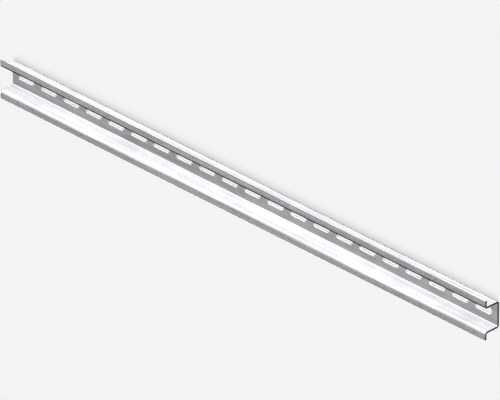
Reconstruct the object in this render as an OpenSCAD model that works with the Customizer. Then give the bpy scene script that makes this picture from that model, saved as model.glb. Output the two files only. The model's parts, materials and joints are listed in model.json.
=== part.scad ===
// Slotted top-hat mounting rail for wiring devices, roll-formed from one strip of zinc-plated steel.
// It lies with the web on the floor and its open channel up. X runs along the rail, the origin is
// the middle of the web's mounting face, and everything is in millimetres.

/* [Rail] */
// Length that the rail is cut to
rail_length = 530; // [120:5:2000]
// Width across the two flanges that devices clip on to
rail_width = 35; // [31:0.5:50]
// Height from the mounting face to the front of the flanges
rail_height = 15; // [8:0.5:30]

/* [Strip] */
// Thickness of the strip
strip_thickness = 1.5; // [0.8:0.1:2.3]
// Inside radius of the four bends
bend_radius = 1; // [0.2:0.1:2.5]
// Radius on the long edges of the strip
edge_radius = 0.3; // [0.1:0.05:0.6]

/* [Channel] */
// Clear width between the two legs
channel_width = 20.5; // [14:0.5:25]

/* [Slots] */
// Length of a slot, end to end
slot_length = 18; // [8:0.5:24]
// Width of a slot
slot_width = 6.2; // [3:0.1:7.5]
// Distance from one slot's centre to the next
slot_pitch = 25; // [20:0.5:60]
// Least metal between the last slot and the rail's end
slot_end_margin = 5; // [2:0.5:20]

/* [Hidden] */
$fn = 96;

zinc_grey = [0.68, 0.69, 0.71];
through = 1; // how far a punch runs past each face of the web

// Places across the section, measured from its centre line.
leg_inside = channel_width / 2;
leg_outside = leg_inside + strip_thickness;
flange_edge = rail_width / 2;

// Heights above the mounting face.
web_top = strip_thickness;
flange_back = rail_height - strip_thickness;

// Centres of the bend between web and leg, and of the bend between leg and flange.
foot_bend = [leg_inside - bend_radius, web_top + bend_radius];
shoulder_bend = [leg_outside + bend_radius, flange_back - bend_radius];

// As many slots as the length takes, spread evenly about its middle.
slot_room = rail_length - 2 * slot_end_margin - slot_length;
slot_count = floor(slot_room / slot_pitch) + 1;
first_slot = -(slot_count - 1) * slot_pitch / 2;

// A rectangle between two opposite corners.
module block(low, high) {
    translate(low) square(high - low);
}

// A quarter turn of the strip about a bend's centre, in the quadrant that side points to.
module quarter_bend(centre, side) {
    outer_radius = bend_radius + strip_thickness;
    corner = side * outer_radius;
    translate(centre) intersection() {
        difference() {
            circle(r = outer_radius);
            circle(r = bend_radius);
        }
        block([min(0, corner.x), min(0, corner.y)], [max(0, corner.x), max(0, corner.y)]);
    }
}

// The flange's flat, with the strip's edge rounded on both corners.
module flange_flat() {
    corner = flange_edge - edge_radius;
    block([shoulder_bend.x, flange_back], [corner, rail_height]);
    block([corner, flange_back + edge_radius], [flange_edge, rail_height - edge_radius]);
    for (height = [flange_back + edge_radius, rail_height - edge_radius])
        translate([corner, height]) circle(r = edge_radius);
}

// Half of the section, from the centre line out: web, foot bend, leg, shoulder bend, flange.
module half_section() {
    block([0, 0], [foot_bend.x, web_top]);
    quarter_bend(foot_bend, [1, -1]);
    block([leg_inside, foot_bend.y], [leg_outside, shoulder_bend.y]);
    quarter_bend(shoulder_bend, [-1, 1]);
    flange_flat();
}

module section() {
    half_section();
    mirror([1, 0]) half_section();
}

// The outline of one punched slot, its length along X.
module slot_outline() {
    arc_centre = (slot_length - slot_width) / 2;
    square([2 * arc_centre, slot_width], center = true);
    for (end = [-1, 1])
        translate([end * arc_centre, 0]) circle(d = slot_width);
}

module slot_row() {
    for (i = [0 : slot_count - 1])
        translate([first_slot + i * slot_pitch, 0, -through])
            linear_extrude(strip_thickness + 2 * through) slot_outline();
}

module rail() {
    color(zinc_grey) difference() {
        rotate([90, 0, 90]) linear_extrude(rail_length, center = true) section();
        slot_row();
    }
}

rail();
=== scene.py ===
"""A slotted top-hat mounting rail with its finish and studio, laid out as an add-on and run as a script.

The rail lies on the back of its web, along X. Its upper flange is the one at +Y, its near end the one at +X.
"""

import json
import math

import bmesh
import bpy
from mathutils import Matrix, Vector


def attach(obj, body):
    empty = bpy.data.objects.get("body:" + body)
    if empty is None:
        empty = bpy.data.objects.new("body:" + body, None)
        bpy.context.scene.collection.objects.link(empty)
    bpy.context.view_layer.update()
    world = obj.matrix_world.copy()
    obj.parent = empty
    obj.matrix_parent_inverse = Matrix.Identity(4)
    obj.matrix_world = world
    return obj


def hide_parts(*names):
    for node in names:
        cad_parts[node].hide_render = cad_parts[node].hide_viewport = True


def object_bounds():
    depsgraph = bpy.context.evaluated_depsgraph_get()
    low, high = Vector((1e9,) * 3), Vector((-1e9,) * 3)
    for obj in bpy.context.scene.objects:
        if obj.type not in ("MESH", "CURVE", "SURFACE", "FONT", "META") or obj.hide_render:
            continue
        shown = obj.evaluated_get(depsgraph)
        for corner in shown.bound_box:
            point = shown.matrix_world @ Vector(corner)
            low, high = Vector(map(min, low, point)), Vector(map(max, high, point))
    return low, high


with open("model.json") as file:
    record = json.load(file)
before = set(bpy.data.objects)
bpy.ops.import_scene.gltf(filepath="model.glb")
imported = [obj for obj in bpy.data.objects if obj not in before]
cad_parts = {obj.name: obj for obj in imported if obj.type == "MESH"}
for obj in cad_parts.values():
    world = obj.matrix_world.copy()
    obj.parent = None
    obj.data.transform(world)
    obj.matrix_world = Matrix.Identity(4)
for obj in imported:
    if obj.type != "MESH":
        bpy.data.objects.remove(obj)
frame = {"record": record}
CAD_BOX = [list(corner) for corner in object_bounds()]

bl_info = {
    "name": "Slotted mounting rail",
    "version": (1, 0, 0),
    "blender": (4, 5, 0),
    "location": "3D View > Sidebar > Rail",
    "description": "Punches, rolls and plates a top-hat mounting rail, and lights it in a small studio",
    "category": "Add Mesh",
}

MM = 0.001
LOW, HIGH = (Vector(corner) for corner in CAD_BOX)
MOUNTS = {mount["name"]: mount for mount in frame["record"]["mounts"]}
OUTER_SLOTS = MOUNTS["slots_500"]["dims"]
INNER_SLOTS = MOUNTS["slots_50"]["dims"]


class RailSizes(bpy.types.PropertyGroup):
    """Sizes of the punched and rolled strip."""

    length: bpy.props.FloatProperty(
        name="Length", description="Length that the rail is cut to",
        default=HIGH.x - LOW.x, min=0.1, unit="LENGTH")
    width: bpy.props.FloatProperty(
        name="Width", description="Width across the two flanges",
        default=HIGH.y - LOW.y, min=0.03, unit="LENGTH")
    height: bpy.props.FloatProperty(
        name="Height", description="Height from the mounting face to the front of the flanges",
        default=HIGH.z - LOW.z, min=0.007, unit="LENGTH")
    thickness: bpy.props.FloatProperty(
        name="Strip thickness", description="Thickness of the strip",
        default=MOUNTS["slots_500"]["pos_m"][2], min=0.0005, unit="LENGTH")
    channel: bpy.props.FloatProperty(
        name="Channel width", description="Clear width between the two legs",
        default=20.5 * MM, min=0.01, unit="LENGTH")
    bend_radius: bpy.props.FloatProperty(
        name="Bend radius", description="Inside radius of the four bends",
        default=1.0 * MM, min=0.0002, unit="LENGTH")
    slot_length: bpy.props.FloatProperty(
        name="Slot length", description="Length of a slot, end to end",
        default=OUTER_SLOTS["slot_length_mm"] * MM, min=0.005, unit="LENGTH")
    slot_width: bpy.props.FloatProperty(
        name="Slot width", description="Width of a slot",
        default=2 * OUTER_SLOTS["hole_r_mm"] * MM, min=0.002, unit="LENGTH")
    slot_pitch: bpy.props.FloatProperty(
        name="Slot pitch", description="Distance from one slot's centre to the next",
        default=INNER_SLOTS["spacing_x_mm"] / 2 * MM, min=0.01, unit="LENGTH")
    slot_count: bpy.props.IntProperty(
        name="Slots", description="Number of slots",
        default=1 + round(2 * OUTER_SLOTS["spacing_x_mm"] / INNER_SLOTS["spacing_x_mm"]), min=1)
    slot_rollover: bpy.props.FloatProperty(
        name="Slot rollover", description="Radius that the punch drew on the front edge of a slot",
        default=0.25 * MM, min=0.00005, unit="LENGTH")
    strip_edge: bpy.props.FloatProperty(
        name="Strip edge", description="Radius on the long edges of the strip",
        default=0.3 * MM, min=0.00005, unit="LENGTH")
    cut_edge: bpy.props.FloatProperty(
        name="Cut edge", description="Width of the break on the edges of the two cut ends",
        default=0.12 * MM, min=0.00002, unit="LENGTH")


class RailFinish(bpy.types.PropertyGroup):
    """Colours and surface of the plated strip and of its cut ends."""

    zinc: bpy.props.FloatVectorProperty(
        name="Zinc", description="Mean colour of the passivated zinc",
        default=(0.6, 0.598, 0.61), min=0, max=1, size=3, subtype="COLOR")
    zinc_warm: bpy.props.FloatVectorProperty(
        name="Warm zinc", description="Colour of the zinc where the passivation has yellowed a little",
        default=(0.607, 0.599, 0.601), min=0, max=1, size=3, subtype="COLOR")
    rubbed_zinc: bpy.props.FloatVectorProperty(
        name="Rubbed zinc", description="Colour of the zinc on edges that have been rubbed bright",
        default=(0.8, 0.8, 0.81), min=0, max=1, size=3, subtype="COLOR")
    bare_steel: bpy.props.FloatVectorProperty(
        name="Bare steel", description="Colour of the steel where the rail was cut to length",
        default=(0.52, 0.52, 0.53), min=0, max=1, size=3, subtype="COLOR")
    burr: bpy.props.FloatVectorProperty(
        name="Burr", description="Colour of the bright burr round the cut ends",
        default=(0.6, 0.6, 0.61), min=0, max=1, size=3, subtype="COLOR")
    metal: bpy.props.FloatProperty(
        name="Metal", description="How metallic the passivated plating looks",
        default=0.15, min=0, max=1, subtype="FACTOR")
    steel_metal: bpy.props.FloatProperty(
        name="Steel's metal", description="How metallic the dulled steel of the cut ends looks",
        default=0.3, min=0, max=1, subtype="FACTOR")
    gloss: bpy.props.FloatProperty(
        name="Gloss", description="Strength of the plain mirror gloss over the plating and the cut ends",
        default=0.3, min=0, max=1, subtype="FACTOR")
    roughness: bpy.props.FloatProperty(
        name="Roughness", description="Mean roughness of the plating",
        default=0.5, min=0.1, max=1, subtype="FACTOR")
    streaks: bpy.props.FloatProperty(
        name="Streaks", description="How strongly the rollers' streaks show in the colour",
        default=0.3, min=0, max=1, subtype="FACTOR")
    clouding: bpy.props.FloatProperty(
        name="Clouding", description="How strongly the clouds of the plating bath show in the colour",
        default=0.16, min=0, max=1, subtype="FACTOR")


class StudioSettings(bpy.types.PropertyGroup):
    """Floor, lights and camera."""

    turn: bpy.props.FloatProperty(
        name="Turn", description="How far the camera stands round from the rail's front, towards its end",
        default=math.radians(45), subtype="ANGLE")
    climb: bpy.props.FloatProperty(
        name="Climb", description="How far the camera is raised towards the upper flange's edge",
        default=math.radians(30), subtype="ANGLE")
    lens: bpy.props.FloatProperty(
        name="Lens", description="Focal length in millimetres, long so that the rail hardly tapers",
        default=1350, min=50, unit="CAMERA")
    view_width: bpy.props.FloatProperty(
        name="View width", description="Width of the view at the middle of the rail",
        default=0.3866, min=0.05, unit="LENGTH")
    aim: bpy.props.FloatVectorProperty(
        name="Aim", description="Point that the camera looks at",
        default=(3.3 * MM, -3.1 * MM, 7.5 * MM), size=3, subtype="TRANSLATION", unit="LENGTH")
    key_light: bpy.props.FloatProperty(
        name="Key light", description="Strength of the main light, from beyond the upper flange's edge",
        default=6.7, min=0)
    key_height: bpy.props.FloatProperty(
        name="Key height", description="Angle of the key light above the floor",
        default=math.radians(31), subtype="ANGLE")
    key_swing: bpy.props.FloatProperty(
        name="Key swing", description="Angle of the key light round towards the near end",
        default=math.radians(15), subtype="ANGLE")
    under_light: bpy.props.FloatProperty(
        name="Under light", description="Strength of the light thrown up by the floor at the lower side",
        default=2.5, min=0)
    under_depth: bpy.props.FloatProperty(
        name="Under depth", description="Angle of the under light below the floor",
        default=math.radians(38), subtype="ANGLE")
    under_swing: bpy.props.FloatProperty(
        name="Under swing", description="Angle of the under light round towards the far end",
        default=math.radians(28), subtype="ANGLE")
    room_light: bpy.props.FloatProperty(
        name="Room light", description="Strength of the light from all round",
        default=0.1, min=0)


def settings():
    """The sizes, the finish and the studio, as the scene keeps them."""
    scene = bpy.context.scene
    return scene.rail_sizes, scene.rail_finish, scene.rail_studio


# --- The strip, as it is punched and rolled ---

RING = 1.2 * MM  # band of even quads round each slot, which carries the rollover
ARC_STEPS = 16  # steps in half a turn round a slot's end
BEND_STEPS = 10  # steps in a quarter turn of a bend
EDGE_STEPS = 3  # steps across a rounded edge
BREAK_STEPS = 2  # steps across the break on a cut end
MERGE = 0.001 * MM  # points closer than this are one
UPRIGHT = 0.5  # the normal of a slot's wall points up or down by less than this
SQUARE_ON = 0.99  # the normal of an end or a side points along its axis by more than this
CUT_SLOT = 1  # material slot of the cut ends


def bend_centres(size):
    """Centres of the bends at a leg's foot and at its shoulder: how far across the rail, and how high."""
    outside = size.bend_radius + size.thickness
    leg = size.channel / 2 + size.thickness
    return (leg - outside, outside), (leg + size.bend_radius, size.height - outside)


def first_slot(size):
    """Where the first slot's centre lies along the rail."""
    return -(size.slot_count - 1) / 2 * size.slot_pitch


def only(kind, parts):
    """The vertices, edges or faces among mixed parts."""
    return [part for part in parts if isinstance(part, kind)]


def once(parts):
    """The parts in their order, each of them once."""
    return list(dict.fromkeys(parts))


def push(bm, edges, step):
    """Extrudes edges by a step and returns the new edges with their vertices."""
    run = bmesh.ops.extrude_edge_only(bm, edges=only(bmesh.types.BMEdge, edges))["geom"]
    bmesh.ops.translate(bm, verts=only(bmesh.types.BMVert, run), vec=step)
    return only(bmesh.types.BMEdge, run) + only(bmesh.types.BMVert, run)


def fold(bm, edges, centre, angle):
    """Turns edges about a line along the rail, leaving a bend behind them, and returns the last edges."""
    verts = once(vert for edge in only(bmesh.types.BMEdge, edges) for vert in edge.verts)
    turned = bmesh.ops.spin(
        bm, geom=only(bmesh.types.BMEdge, edges) + verts, cent=centre, axis=(1, 0, 0), angle=angle,
        steps=BEND_STEPS, use_merge=False)
    return turned["geom_last"]


def slot_surround(bm, size):
    """A closed band of quads round one slot, in the plane of the web's back."""
    radius = size.slot_width / 2
    reach = (size.slot_length - size.slot_width) / 2
    corners = [bm.verts.new((-reach, -radius, 0)), bm.verts.new((-reach, -radius - RING, 0))]
    edges = [bm.edges.new(corners)]
    for side in (1, -1):
        run = push(bm, edges, (2 * side * reach, 0, 0))
        turned = bmesh.ops.spin(
            bm, geom=run, cent=(side * reach, 0, 0), axis=(0, 0, 1), angle=math.pi, steps=ARC_STEPS,
            use_merge=False)
        edges = turned["geom_last"]
    bmesh.ops.remove_doubles(bm, verts=bm.verts, dist=MERGE)


def web_cell(bm, size, half_flat):
    """One pitch of the web's back, with one slot in it."""
    slot_surround(bm, size)
    outside = size.slot_width / 2 + RING / 2
    reach = (size.slot_length - size.slot_width) / 2

    def beyond(edge):
        middle = (edge.verts[0].co + edge.verts[1].co) / 2
        along = max(0, abs(middle.x) - reach)
        return math.hypot(along, middle.y) > outside

    ring = [edge for edge in bm.edges if edge.is_boundary and beyond(edge)]
    left, right = -size.slot_pitch / 2, size.slot_pitch / 2
    corners = [bm.verts.new((x, y, 0)) for x, y in
               ((left, -half_flat), (right, -half_flat), (right, half_flat), (left, half_flat))]
    outline = [bm.edges.new((corners[i - 1], corners[i])) for i in range(4)]
    bmesh.ops.triangle_fill(
        bm, use_beauty=True, use_dissolve=False, edges=ring + outline, normal=(0, 0, 1))


def strip_skin(bm, size):
    """The back of the whole strip, without its thickness."""
    (foot, foot_height), (shoulder, shoulder_height) = bend_centres(size)
    web_cell(bm, size, foot)
    cell = list(bm.verts) + list(bm.edges) + list(bm.faces)
    for index in range(1, size.slot_count):
        copy = bmesh.ops.duplicate(bm, geom=cell)["geom"]
        place = first_slot(size) + index * size.slot_pitch
        bmesh.ops.translate(bm, verts=only(bmesh.types.BMVert, copy), vec=(place, 0, 0))
    bmesh.ops.translate(bm, verts=only(bmesh.types.BMVert, cell), vec=(first_slot(size), 0, 0))
    bmesh.ops.remove_doubles(bm, verts=bm.verts, dist=MERGE)

    def boundary(axis, place):
        return [edge for edge in bm.edges
                if edge.is_boundary and all(abs(vert.co[axis] - place) < MERGE for vert in edge.verts)]

    slotted = size.slot_count * size.slot_pitch / 2
    run_out = size.length / 2 - slotted
    for side in (1, -1):
        push(bm, boundary(0, side * slotted), (side * run_out, 0, 0))
    flange = size.width / 2 - shoulder
    for side in (1, -1):
        edges = boundary(1, side * foot)
        edges = fold(bm, edges, (0, side * foot, foot_height), side * math.pi / 2)
        edges = push(bm, edges, (0, 0, shoulder_height - foot_height))
        edges = fold(bm, edges, (0, side * shoulder, shoulder_height), -side * math.pi / 2)
        push(bm, edges, (0, side * flange, 0))


def at_slot(place, size):
    """Whether a place lies within the length and width of a slot."""
    index = round((place.x - first_slot(size)) / size.slot_pitch)
    index = min(size.slot_count - 1, max(0, index))
    centre = first_slot(size) + index * size.slot_pitch
    along = abs(place.x - centre) < size.slot_length / 2 + MERGE
    return along and abs(place.y) < size.slot_width / 2 + MERGE


def walls(bm, size):
    """The faces of the slots' walls, of the strip's two long edges and of its two cut ends."""
    found = {"slots": [], "sides": [], "ends": []}
    for face in bm.faces:
        middle = face.calc_center_median()
        if abs(face.normal.z) < UPRIGHT and at_slot(middle, size):
            found["slots"].append(face)
        elif abs(face.normal.y) > SQUARE_ON and size.width / 2 - abs(middle.y) < MERGE:
            found["sides"].append(face)
        elif abs(face.normal.x) > SQUARE_ON and size.length / 2 - abs(middle.x) < MERGE:
            found["ends"].append(face)
    return found


def rims(faces):
    """The edges round a group of faces."""
    group = set(faces)
    return [edge for edge in once(edge for face in faces for edge in face.edges)
            if sum(face in group for face in edge.link_faces) == 1]


def bend_share(place, size):
    """How far a point is into a bend, from 0 on the flats to 1 half way round."""
    foot, shoulder = bend_centres(size)
    for (middle, height), side in ((foot, 1), (shoulder, -1)):
        out = side * (abs(place.y) - middle)
        down = side * (height - place.z)
        if out > 0 and down > 0:
            return math.sin(2 * math.atan2(down, out))
    return 0.0


def soften(bm, edges, offset, segments):
    """Rounds or breaks edges, and returns the new faces."""
    return bmesh.ops.bevel(
        bm, geom=edges, offset=offset, offset_type="OFFSET", segments=segments, profile=0.5, affect="EDGES",
        clamp_overlap=True, material=-1)["faces"]


def rail_mesh(size):
    """The whole rail: the skin is given its thickness, and then its edges are softened."""
    bm = bmesh.new()
    punched = bm.faces.layers.float.new("punched")  # first, because a new layer cuts off faces held before it
    bend = bm.verts.layers.float.new("bend")
    strip_skin(bm, size)
    bmesh.ops.recalc_face_normals(bm, faces=bm.faces)
    if sum(face.normal.z for face in bm.faces) > 0:
        bmesh.ops.reverse_faces(bm, faces=bm.faces)
    bmesh.ops.solidify(bm, geom=bm.faces, thickness=size.thickness)
    bmesh.ops.recalc_face_normals(bm, faces=bm.faces)
    soften(bm, rims(walls(bm, size)["sides"]), size.strip_edge, EDGE_STEPS)

    slots = walls(bm, size)["slots"]
    for face in slots:
        face[punched] = 1.0
    front = [edge for edge in rims(slots) if edge.verts[0].co.z > size.thickness / 2]
    for face in soften(bm, front, size.slot_rollover, EDGE_STEPS):
        face[punched] = 1.0
    back = [edge for edge in rims(walls(bm, size)["slots"]) if edge.verts[0].co.z < size.thickness / 4]
    for face in soften(bm, back, size.cut_edge, 1):
        face[punched] = 1.0

    broken = soften(bm, rims(walls(bm, size)["ends"]), size.cut_edge, BREAK_STEPS)
    for face in broken + walls(bm, size)["ends"]:
        face.material_index = CUT_SLOT
    for vert in bm.verts:
        # how far into a bend: the mask for the zinc's darker bends, partly strain-dulled zinc and partly
        # painted shade
        vert[bend] = bend_share(vert.co, size)
    for face in bm.faces:
        face.smooth = True
    mesh = bpy.data.meshes.new("rail_strip")
    bm.to_mesh(mesh)
    bm.free()
    return mesh


# --- Finishes ---

# Sizes of the marks, in millimetres.
ROLLER_MARKS = {"Line width": 0.35, "Line length": 45.0, "Band width": 3.2, "Band length": 160.0}
SAW_MARKS = {"Line width": 0.12, "Line length": 9.0, "Band width": 0.7, "Band length": 25.0}
SAW_TURN = (0, 0, math.radians(-90))  # lays the marks across the rail, as the saw's stroke ran

# How fine the patterns are: the more, the finer.
CLOUD_GRAIN = 0.06
CRYSTAL_GRAIN = 3.0
STAIN_GRAIN = 0.5
SCORE_GRAIN = (7.0, 7.0, 0.4)  # fine round a slot, and drawn out from its front to its back

# How far the rubbing reaches from an edge, and how fine its patches are.
ZINC_WEAR = {"Reach": 0.5 * MM, "Grain": 0.45}
STEEL_WEAR = {"Reach": 0.25 * MM, "Grain": 1.2}
EDGE_RANGE = (0.86, 0.99)  # how far the rounded normal agrees with the flat one, from an edge to a flat

# Values of its pattern between which a mark comes in or goes.
PATCH_RANGE = (0.36, 0.62)
STRAIN_AND_SHADE_RANGE = (0.4, 0.62)
WARM_RANGE = (0.45, 0.7)
HAIRLINE_RANGE = (0.66, 0.74)

# A slot's wall is torn up to a ragged line, in millimetres above the web's back.
TEAR_RANGE = (0.5, 0.8)
TEAR_RAGGEDNESS = 0.5

# How much each mark varies or adds to the tone. The streaks and clouds of the plating are settings.
CRYSTAL_TONE = 0.08
# darkens the bends: partly strain-dulled zinc, partly painted shade in the bends
STRAIN_AND_SHADE_TONE = -0.12
SAW_LINE_TONE = 0.6
SAW_BAND_TONE = 0.5
STAIN_TONE = 0.4
TORN_TONE = 0.92  # tone of a torn wall, as a share of the plating's

# How much of the bright colour a rubbed place shows.
WORN_SHARE = 0.7
HAIRLINE_SHARE = 0.35
BURR_SHARE = 0.6

# How rough the steel is, and how much each mark varies or adds to the roughness.
STEEL_ROUGHNESS = 0.55
CLOUD_ROUGHNESS = 0.16
LINE_ROUGHNESS = -0.14
BRIGHT_ROUGHNESS = -0.16
TORN_ROUGHNESS = 0.2
STAIN_ROUGHNESS = 0.3

# Relief of the marks, in millimetres.
ROLLER_LINE_RELIEF = 0.004
ROLLER_BAND_RELIEF = 0.03
CRYSTAL_RELIEF = 0.0015
TEAR_RELIEF = 0.06
SAW_LINE_RELIEF = 0.02
SAW_BAND_RELIEF = 0.03


def node(tree, kind, inputs=None, **options):
    """Adds a node, and gives each named or numbered input a plain value or the socket that feeds it."""
    made = tree.nodes.new(kind)
    for name, value in options.items():
        setattr(made, name, value)
    for key, value in (inputs or {}).items():
        if isinstance(value, bpy.types.NodeSocket):
            tree.links.new(value, made.inputs[key])
        else:
            made.inputs[key].default_value = value
    return made


def maths(tree, operation, first, second=0.0, third=0.0):
    """A sum on up to three values."""
    return node(tree, "ShaderNodeMath", {0: first, 1: second, 2: third}, operation=operation).outputs[0]


def ramp(tree, value, low, high, start=0.0, end=1.0):
    """Smoothly from start, where value is low, to end, where it is high."""
    inputs = {0: value, 1: low, 2: high, 3: start, 4: end}
    return node(tree, "ShaderNodeMapRange", inputs, interpolation_type="SMOOTHSTEP").outputs[0]


def about(tree, middle, value, strength):
    """Varies about the middle, by half the strength each way, as value goes from 0 to 1."""
    return maths(tree, "MULTIPLY_ADD", maths(tree, "SUBTRACT", value, 0.5), strength, middle)


def product(tree, *factors):
    """All the factors multiplied together."""
    total = factors[0]
    for factor in factors[1:]:
        total = maths(tree, "MULTIPLY", total, factor)
    return total


def noise(tree, place, scale, detail=2.0):
    """A random pattern from 0 to 1, mostly near a half."""
    return node(tree, "ShaderNodeTexNoise", {"Vector": place, "Scale": scale, "Detail": detail}).outputs[0]


def blend(tree, share, first, second):
    """From the first colour to the second."""
    return node(tree, "ShaderNodeMix", {0: share, 6: first, 7: second}, data_type="RGBA").outputs[2]


def millimetres(tree, turn=(0, 0, 0)):
    """The piece's own coordinates in millimetres, turned to suit a pattern."""
    own = node(tree, "ShaderNodeTexCoord").outputs["Object"]
    scale = (1 / MM, 1 / MM, 1 / MM)
    return node(tree, "ShaderNodeMapping", {"Vector": own, "Rotation": turn, "Scale": scale}).outputs[0]


def new_group(name, inputs, outputs):
    """A shader node group with its sockets, and its two end nodes."""
    group = bpy.data.node_groups.new(name, "ShaderNodeTree")
    for label, kind in inputs.items():
        group.interface.new_socket(name=label, in_out="INPUT", socket_type=kind)
    for label in outputs:
        group.interface.new_socket(name=label, in_out="OUTPUT", socket_type="NodeSocketFloat")
    return group, group.nodes.new("NodeGroupInput").outputs, group.nodes.new("NodeGroupOutput").inputs


def use_group(tree, name, inputs):
    """Places a shared effect in a material, and returns what it puts out."""
    return node(tree, "ShaderNodeGroup", inputs, node_tree=bpy.data.node_groups[name]).outputs


def make_drawn_lines():
    """Fine lines and broad bands along X, as rollers or a saw leave them. Sizes are in millimetres."""
    sizes = ("Line width", "Line length", "Band width", "Band length")
    inputs = {"Place": "NodeSocketVector"} | {label: "NodeSocketFloat" for label in sizes}
    group, given, result = new_group("Drawn lines", inputs, ("Lines", "Bands"))
    for made, detail in (("Lines", 3.0), ("Bands", 1.0)):
        word = made.removesuffix("s")
        width, length = given[word + " width"], given[word + " length"]
        cell = node(group, "ShaderNodeCombineXYZ", {"X": length, "Y": width, "Z": width}).outputs[0]
        place = node(group, "ShaderNodeVectorMath", {0: given["Place"], 1: cell}, operation="DIVIDE")
        group.links.new(noise(group, place.outputs[0], 1.0, detail), result[made])


def make_worn_edges():
    """A mask of the edges that have been rubbed. Reach is in metres, and Grain is per millimetre."""
    inputs = {"Place": "NodeSocketVector", "Reach": "NodeSocketFloat", "Grain": "NodeSocketFloat"}
    group, given, result = new_group("Worn edges", inputs, ("Worn",))
    rounded = node(group, "ShaderNodeBevel", {"Radius": given["Reach"]}, samples=6).outputs[0]
    flat = node(group, "ShaderNodeNewGeometry").outputs["Normal"]
    agreement = node(group, "ShaderNodeVectorMath", {0: rounded, 1: flat}, operation="DOT_PRODUCT")
    edge = ramp(group, agreement.outputs["Value"], *EDGE_RANGE, 1.0, 0.0)
    patches = noise(group, given["Place"], given["Grain"], detail=3.0)
    group.links.new(product(group, edge, ramp(group, patches, *PATCH_RANGE)), result["Worn"])


def new_material(name, metal, gloss):
    """A material with what is the same all over its surface."""
    material = bpy.data.materials.new(name)
    material.use_nodes = True
    surface = material.node_tree.nodes["Principled BSDF"]
    surface.inputs["Metallic"].default_value = metal
    surface.inputs["Specular IOR Level"].default_value = gloss
    return material, material.node_tree, surface


def finish_surface(tree, surface, colour, roughness, relief):
    """Feeds the surface. The relief is in millimetres."""
    bump = node(tree, "ShaderNodeBump", {"Distance": MM, "Height": relief}).outputs[0]
    for name, socket in (("Base Color", colour), ("Roughness", roughness), ("Normal", bump)):
        tree.links.new(socket, surface.inputs[name])


def zinc_plate(finish):
    """Passivated zinc over rolled strip."""
    material, tree, surface = new_material("zinc_plate", finish.metal, finish.gloss)
    place = millimetres(tree)
    drawn = use_group(tree, "Drawn lines", {"Place": place} | ROLLER_MARKS)
    lines, bands = drawn["Lines"], drawn["Bands"]
    worn = use_group(tree, "Worn edges", {"Place": place} | ZINC_WEAR)["Worn"]
    clouds = noise(tree, place, CLOUD_GRAIN, detail=3.0)
    crystals = noise(tree, place, CRYSTAL_GRAIN)
    bend = node(tree, "ShaderNodeAttribute", attribute_name="bend").outputs["Fac"]
    punched = node(tree, "ShaderNodeAttribute", attribute_name="punched").outputs["Fac"]

    # A punch burnishes the front of a slot's wall, tears the back of it, and scores it from front to back.
    across = node(tree, "ShaderNodeVectorMath", {0: place, 1: SCORE_GRAIN}, operation="MULTIPLY").outputs[0]
    scores = noise(tree, across, 1.0)
    height = node(tree, "ShaderNodeSeparateXYZ", {0: place}).outputs["Z"]
    ragged = about(tree, height, scores, TEAR_RAGGEDNESS)
    torn = product(tree, punched, ramp(tree, ragged, *TEAR_RANGE, 1.0, 0.0))

    # Bending dulls the passivation in streaks along the rail, and the same darkening paints shade into all
    # four bends.
    strained_and_shaded = product(tree, bend, ramp(tree, lines, *STRAIN_AND_SHADE_RANGE, 1.0, 0.0))

    tone = product(
        tree, about(tree, 1.0, lines, finish.streaks), about(tree, 1.0, bands, finish.streaks),
        about(tree, 1.0, clouds, finish.clouding), about(tree, 1.0, crystals, CRYSTAL_TONE))
    # darker bends: partly strain-dulled zinc, partly painted shade
    tone = maths(tree, "MULTIPLY_ADD", strained_and_shaded, STRAIN_AND_SHADE_TONE, tone)
    tone = product(tree, tone, ramp(tree, torn, 0.0, 1.0, 1.0, TORN_TONE))
    tint = blend(tree, ramp(tree, clouds, *WARM_RANGE), (*finish.zinc, 1), (*finish.zinc_warm, 1))
    hairlines = product(tree, ramp(tree, lines, *HAIRLINE_RANGE), HAIRLINE_SHARE)
    bright = maths(tree, "MAXIMUM", product(tree, worn, WORN_SHARE), hairlines)
    tint = blend(tree, bright, tint, (*finish.rubbed_zinc, 1))
    colour = node(tree, "ShaderNodeVectorMath", {0: tint, "Scale": tone}, operation="SCALE").outputs[0]

    roughness = about(tree, finish.roughness, clouds, CLOUD_ROUGHNESS)
    roughness = about(tree, roughness, lines, LINE_ROUGHNESS)
    roughness = maths(tree, "MULTIPLY_ADD", bright, BRIGHT_ROUGHNESS, roughness)
    roughness = maths(tree, "MULTIPLY_ADD", torn, TORN_ROUGHNESS, roughness)

    relief = product(tree, lines, ROLLER_LINE_RELIEF)
    relief = maths(tree, "MULTIPLY_ADD", bands, ROLLER_BAND_RELIEF, relief)
    relief = maths(tree, "MULTIPLY_ADD", crystals, CRYSTAL_RELIEF, relief)
    relief = maths(tree, "MULTIPLY_ADD", product(tree, torn, scores), TEAR_RELIEF, relief)
    finish_surface(tree, surface, colour, roughness, relief)
    return material


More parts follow.
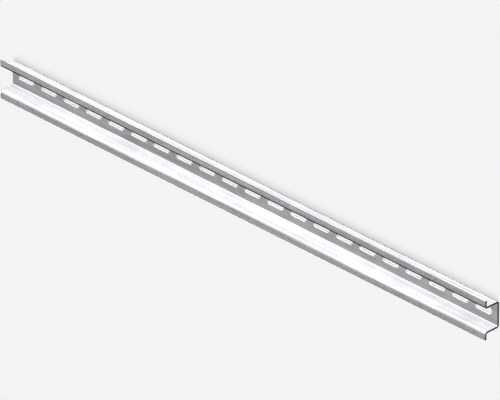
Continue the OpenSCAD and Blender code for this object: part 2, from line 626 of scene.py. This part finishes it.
def cut_steel(finish):
    """Bare steel where the saw went through, scored along its stroke and dulled since."""
    material, tree, surface = new_material("cut_steel", finish.steel_metal, finish.gloss)
    place = millimetres(tree, SAW_TURN)
    drawn = use_group(tree, "Drawn lines", {"Place": place} | SAW_MARKS)
    lines, bands = drawn["Lines"], drawn["Bands"]
    worn = use_group(tree, "Worn edges", {"Place": place} | STEEL_WEAR)["Worn"]
    stains = noise(tree, place, STAIN_GRAIN, detail=3.0)
    tone = product(
        tree, about(tree, 1.0, lines, SAW_LINE_TONE), about(tree, 1.0, bands, SAW_BAND_TONE),
        about(tree, 1.0, stains, STAIN_TONE))
    burred = product(tree, worn, BURR_SHARE)
    tint = blend(tree, burred, (*finish.bare_steel, 1), (*finish.burr, 1))
    colour = node(tree, "ShaderNodeVectorMath", {0: tint, "Scale": tone}, operation="SCALE").outputs[0]
    roughness = about(tree, STEEL_ROUGHNESS, stains, STAIN_ROUGHNESS)
    relief = product(tree, bands, SAW_BAND_RELIEF)
    relief = maths(tree, "MULTIPLY_ADD", lines, SAW_LINE_RELIEF, relief)
    finish_surface(tree, surface, colour, roughness, relief)
    return material


# --- Operators ---

FLOOR_REACH = 20.0  # metres from the middle of the floor to its sides
FLOOR_GAP = 0.02 * MM  # keeps the floor just clear of the web's back
PALE = 0.955  # brightness of the floor and of the room beyond it, as the camera sees them
FLOOR_SHADE = 0.15  # how pale the floor is to all but the camera
LAMP_SPREAD = math.radians(10)  # how wide each light looks from the rail
FLAT_WEIGHT = 100  # shades each flat as flat, and leaves the turn to the bends beside it
PAINTED_SHADOW_REACH = 10 * MM  # how far from the rail the floor's painted contact shadow reaches
PAINTED_SHADOW_LEVEL = 0.8  # brightness of the floor's painted shadow under the rail, as a share of the open floor's


class RAIL_OT_roll(bpy.types.Operator):
    """Punch the strip, roll it into a top-hat section and plate it"""

    bl_idname = "rail.roll"
    bl_label = "Roll the rail"

    def execute(self, context):
        size, finish, _ = settings()
        rail = bpy.data.objects.new("mounting_rail", rail_mesh(size))
        context.scene.collection.objects.link(rail)
        make_drawn_lines()
        make_worn_edges()
        rail.data.materials.append(zinc_plate(finish))
        rail.data.materials.append(cut_steel(finish))
        weighted = rail.modifiers.new("even flats", "WEIGHTED_NORMAL")
        weighted.keep_sharp = True
        weighted.weight = FLAT_WEIGHT
        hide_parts("rail")
        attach(rail, "root")
        rail.visible_diffuse = False  # or the bright legs would light the web and the shaded bend
        rail.visible_glossy = False
        return {"FINISHED"}


def aim_along(obj, backwards, up):
    """Turns a camera or a lamp so that it looks against backwards, with up at the top."""
    back = backwards.normalized()
    right = up.cross(back).normalized()
    obj.matrix_world = Matrix((right, back.cross(right), back)).transposed().to_4x4()


def add_sun(scene, name, strength, height, swing):
    """A wide sun without shadows, as soft as a studio's light panels.

    Height is its angle above the floor. Swing is its turn from the upper flange's side to the near end.
    """
    lamp = bpy.data.lights.new(name, "SUN")
    lamp.energy = strength
    lamp.angle = LAMP_SPREAD
    lamp.use_shadow = False
    sun = bpy.data.objects.new(name, lamp)
    scene.collection.objects.link(sun)
    level = math.cos(height)
    toward = Vector((level * math.sin(swing), level * math.cos(swing), math.sin(height)))
    aim_along(sun, toward, Vector((1, 0, 0)))


def pale_floor(name):
    """A floor that shows pale, dims a little close to the rail in a painted contact shadow, and throws less
    light up at it.
    """
    material = bpy.data.materials.new(name)
    material.use_nodes = True
    tree = material.node_tree
    tree.nodes.clear()
    seen = node(tree, "ShaderNodeLightPath").outputs["Is Camera Ray"]
    dull = (FLOOR_SHADE, FLOOR_SHADE, FLOOR_SHADE, 1)
    shaded = node(tree, "ShaderNodeBsdfDiffuse", {"Color": dull}).outputs[0]
    # the floor's pale emission is dimmed near the rail by ambient occlusion: a painted contact shadow
    open_sky = node(tree, "ShaderNodeAmbientOcclusion", {"Distance": PAINTED_SHADOW_REACH}, samples=16)
    pale_with_painted_shadow = ramp(tree, open_sky.outputs["AO"], 0.0, 1.0, PAINTED_SHADOW_LEVEL * PALE, PALE)
    pale = node(tree, "ShaderNodeEmission", {"Color": (1, 1, 1, 1), "Strength": pale_with_painted_shadow}).outputs[0]
    mixed = node(tree, "ShaderNodeMixShader", {0: seen, 1: shaded, 2: pale}).outputs[0]
    node(tree, "ShaderNodeOutputMaterial", {"Surface": mixed})
    return material


def pale_room(name, strength):
    """A room that shows as pale as the floor, and lights the rail only a little."""
    world = bpy.data.worlds.new(name)
    world.use_nodes = True
    tree = world.node_tree
    tree.nodes.clear()
    seen = node(tree, "ShaderNodeLightPath").outputs["Is Camera Ray"]
    level = node(tree, "ShaderNodeMix", {0: seen, 2: strength, 3: PALE}).outputs[0]
    sky = node(tree, "ShaderNodeBackground", {"Color": (1, 1, 1, 1), "Strength": level}).outputs[0]
    node(tree, "ShaderNodeOutputWorld", {"Surface": sky})
    return world


class RAIL_OT_stage(bpy.types.Operator):
    """Make the floor, the lights and the camera"""

    bl_idname = "rail.stage"
    bl_label = "Set the stage"

    def execute(self, context):
        _, _, studio = settings()
        scene = context.scene
        bm = bmesh.new()
        bmesh.ops.create_grid(bm, x_segments=1, y_segments=1, size=FLOOR_REACH)
        bmesh.ops.translate(bm, verts=bm.verts, vec=(0, 0, LOW.z - FLOOR_GAP))
        mesh = bpy.data.meshes.new("floor")
        bm.to_mesh(mesh)
        bm.free()
        floor = bpy.data.objects.new("floor", mesh)
        scene.collection.objects.link(floor)
        floor.data.materials.append(pale_floor("floor"))

        scene.world = pale_room("room", studio.room_light)
        add_sun(scene, "key_light", studio.key_light, studio.key_height, studio.key_swing)
        add_sun(scene, "under_light", studio.under_light, -studio.under_depth, math.pi + studio.under_swing)

        toward = Vector((
            math.cos(studio.climb) * math.sin(studio.turn), math.sin(studio.climb),
            math.cos(studio.climb) * math.cos(studio.turn)))
        camera_data = bpy.data.cameras.new("camera")
        camera_data.lens = studio.lens
        camera = bpy.data.objects.new("camera", camera_data)
        scene.collection.objects.link(camera)
        aim_along(camera, toward, Vector((0, 1, 0)))
        distance = studio.view_width * studio.lens / camera_data.sensor_width
        camera.location = Vector(studio.aim) + toward * distance
        scene.camera = camera
        scene.view_settings.view_transform = "Raw"  # as plain and crisp as a catalogue's drawing
        return {"FINISHED"}


class RAIL_PT_panel(bpy.types.Panel):
    """The rail's operators and settings in the sidebar"""

    bl_label = "Mounting rail"
    bl_idname = "RAIL_PT_panel"
    bl_space_type = "VIEW_3D"
    bl_region_type = "UI"
    bl_category = "Rail"

    def draw(self, context):
        for operator in (RAIL_OT_roll, RAIL_OT_stage):
            self.layout.operator(operator.bl_idname)
        for group in settings():
            box = self.layout.box()
            for name in group.__annotations__:
                box.prop(group, name)


CLASSES = (RailSizes, RailFinish, StudioSettings, RAIL_OT_roll, RAIL_OT_stage, RAIL_PT_panel)


def register():
    for made in CLASSES:
        bpy.utils.register_class(made)
    bpy.types.Scene.rail_sizes = bpy.props.PointerProperty(type=RailSizes)
    bpy.types.Scene.rail_finish = bpy.props.PointerProperty(type=RailFinish)
    bpy.types.Scene.rail_studio = bpy.props.PointerProperty(type=StudioSettings)


def unregister():
    for name in ("rail_sizes", "rail_finish", "rail_studio"):
        delattr(bpy.types.Scene, name)
    for made in reversed(CLASSES):
        bpy.utils.unregister_class(made)


def main():
    register()
    bpy.ops.rail.stage()
    bpy.ops.rail.roll()


if __name__ == "__main__":
    main()
